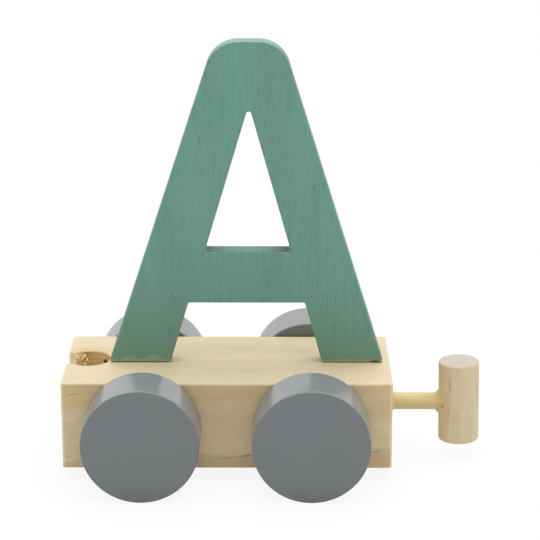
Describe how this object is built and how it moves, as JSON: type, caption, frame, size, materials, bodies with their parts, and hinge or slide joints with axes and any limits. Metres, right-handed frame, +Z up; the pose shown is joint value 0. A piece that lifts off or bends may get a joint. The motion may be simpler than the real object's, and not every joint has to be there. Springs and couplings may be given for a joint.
{
  "type": "letter train car",
  "caption": "Wooden name-train wagon: a block on glued wheelsets carries a flat letter A, with a keyhole coupling socket behind and a peg on a drawbar in front.",
  "frame": {"origin": "on the floor, under the middle of the wagon's whole length and width", "axes": "+X forward towards the coupling peg, +Y to the wagon's left, +Z up"},
  "size_m": [0.0808, 0.0502, 0.0829],
  "materials": {
    "block_wood": "bare planed softwood, sanded",
    "letter_paint": "satin muted green paint on thin wood",
    "wheel_enamel": "semi-gloss grey enamel on turned wood",
    "dowel_wood": "bare dowel",
    "drawbar_wood": "smooth yellowish rod"
  },
  "bodies": {
    "chassis": {"chassis_block": "block_wood", "letter_a": "letter_paint", "letter_pin_front": "dowel_wood", "letter_pin_rear": "dowel_wood", "drawbar": "drawbar_wood", "coupling_peg": "dowel_wood"},
    "front_wheelset": {"front_axle": "dowel_wood", "front_left_wheel": "wheel_enamel", "front_right_wheel": "wheel_enamel"},
    "rear_wheelset": {"rear_axle": "dowel_wood", "rear_left_wheel": "wheel_enamel", "rear_right_wheel": "wheel_enamel"}
  },
  "joints": [
    {"name": "front_wheelset_spin", "type": "hinge", "parent": "chassis", "child": "front_wheelset", "pos_m": [0.00705, 0, 0.0111], "axis": [0, 1, 0], "continuous": true},
    {"name": "rear_wheelset_spin", "type": "hinge", "parent": "chassis", "child": "rear_wheelset", "pos_m": [-0.02495, 0, 0.0111], "axis": [0, 1, 0], "continuous": true}
  ]
}
